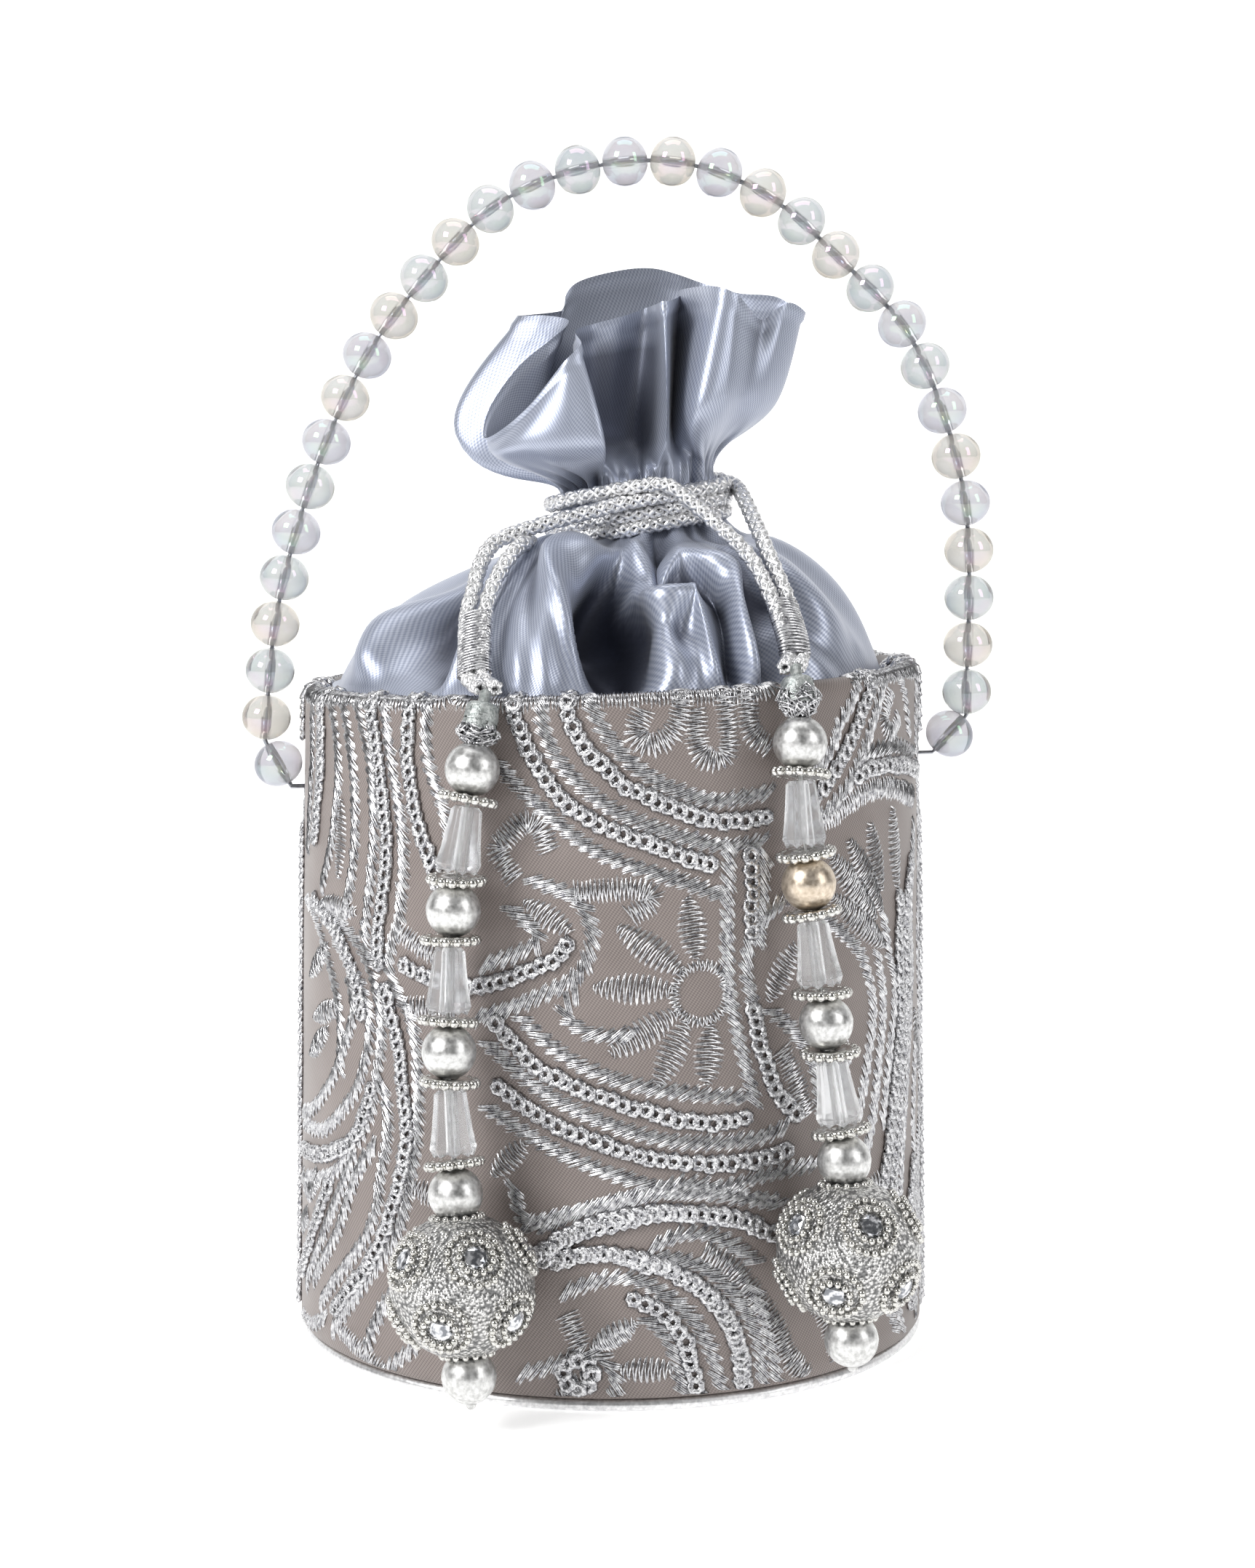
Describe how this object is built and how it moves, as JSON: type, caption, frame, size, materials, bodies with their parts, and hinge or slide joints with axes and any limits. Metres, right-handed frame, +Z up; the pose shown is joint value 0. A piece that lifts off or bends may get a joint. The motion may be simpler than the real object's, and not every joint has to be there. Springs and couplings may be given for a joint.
{
  "type": "potli bag",
  "caption": "Round embroidered potli bag with a cinched satin pouch, drawcords that end in beaded tassels, and a swinging beaded handle.",
  "frame": {"origin": "centre of the underside, on the bag's axis", "axes": "+Z up; the tassels hang at the front, which is -Y; +X is the right side as seen from the front"},
  "size_m": [0.1516, 0.1516, 0.2397],
  "materials": {
    "embroidered_cloth": "taupe satin weave covered in metallic embroidery",
    "grey_board": "pressed grey board",
    "silver_braid": "metallic braid",
    "blue_grey_satin": "satin",
    "silver_cord": "twisted metallic thread",
    "grey_wire": "satin",
    "clear_bead": "clear with a faint sheen of many colours",
    "champagne_bead": "satin metallic",
    "silver_bead": "satin metallic",
    "clear_acrylic": "clear, slightly frosted",
    "silver_ball": "granulated silver with clear stones"
  },
  "bodies": {
    "bag": {"outer_cover": "embroidered_cloth", "stiffener": "grey_board", "base_piping": "silver_braid", "satin_pouch": "blue_grey_satin", "drawcord_left": "silver_cord", "drawcord_right": "silver_cord"},
    "handle": {"handle_wire": "grey_wire", "handle_bead_01": "clear_bead", "handle_bead_02": "clear_bead", "handle_bead_03": "clear_bead", "handle_bead_04": "clear_bead", "handle_bead_05": "clear_bead", "handle_bead_06": "clear_bead", "handle_bead_07": "clear_bead", "handle_bead_08": "clear_bead", "handle_bead_09": "clear_bead", "handle_bead_10": "clear_bead", "handle_bead_11": "clear_bead", "handle_bead_12": "clear_bead", "handle_bead_13": "clear_bead", "handle_bead_14": "clear_bead", "handle_bead_15": "clear_bead", "handle_bead_16": "clear_bead", "handle_bead_17": "clear_bead", "handle_bead_18": "clear_bead", "handle_bead_19": "clear_bead", "handle_bead_20": "clear_bead", "handle_bead_21": "clear_bead", "handle_bead_22": "clear_bead", "handle_bead_23": "clear_bead", "handle_bead_24": "clear_bead", "handle_bead_25": "clear_bead", "handle_bead_26": "clear_bead", "handle_bead_27": "clear_bead", "handle_bead_28": "clear_bead", "handle_bead_29": "clear_bead", "handle_bead_30": "clear_bead", "handle_bead_31": "clear_bead", "handle_bead_32": "clear_bead", "handle_bead_33": "clear_bead"},
    "left_cap": {"left_tassel_cap": "silver_cord"},
    "left_strand": {"left_string": "silver_bead", "left_bead_1": "silver_bead", "left_cone_1": "clear_acrylic", "left_bead_2": "silver_bead", "left_cone_2": "clear_acrylic", "left_bead_3": "silver_bead", "left_cone_3": "clear_acrylic", "left_bead_4": "silver_bead"},
    "left_ball": {"left_ball": "silver_ball"},
    "right_cap": {"right_tassel_cap": "silver_cord"},
    "right_strand": {"right_string": "silver_bead", "right_bead_1": "silver_bead", "right_cone_1": "clear_acrylic", "right_bead_2": "champagne_bead", "right_cone_2": "clear_acrylic", "right_bead_3": "silver_bead", "right_cone_3": "clear_acrylic", "right_bead_4": "silver_bead"},
    "right_ball": {"right_ball": "silver_ball"}
  },
  "joints": [
    {"name": "handle_swing", "type": "hinge", "parent": "bag", "child": "handle", "pos_m": [0.00025, 0, 0.11355], "axis": [0.9986, 0, 0.0535], "range_deg": [-110, 110]},
    {"name": "left_tassel_swing", "type": "hinge", "parent": "bag", "child": "left_cap", "pos_m": [-0.02273, -0.06079, 0.13378], "axis": [-0.9367, 0.3502, 0], "range_deg": [0, 90]},
    {"name": "left_tassel_sway", "type": "hinge", "parent": "left_cap", "child": "left_strand", "pos_m": [-0.02439, -0.06339, 0.125], "axis": [-0.3502, -0.9367, 0], "range_deg": [-25, 8]},
    {"name": "left_ball_spin", "type": "hinge", "parent": "left_strand", "child": "left_ball", "pos_m": [-0.02687, -0.0739, 0.02733], "axis": [-0.0763, 0.144, 0.9866], "continuous": true},
    {"name": "right_tassel_swing", "type": "hinge", "parent": "bag", "child": "right_cap", "pos_m": [0.03391, -0.05534, 0.13808], "axis": [-0.8526, -0.5225, 0], "range_deg": [0, 90]},
    {"name": "right_tassel_sway", "type": "hinge", "parent": "right_cap", "child": "right_strand", "pos_m": [0.03451, -0.05849, 0.12935], "axis": [0.5225, -0.8526, 0], "range_deg": [-8, 25]},
    {"name": "right_ball_spin", "type": "hinge", "parent": "right_strand", "child": "right_ball", "pos_m": [0.04358, -0.06536, 0.03146], "axis": [-0.0413, 0.1009, 0.994], "continuous": true}
  ]
}
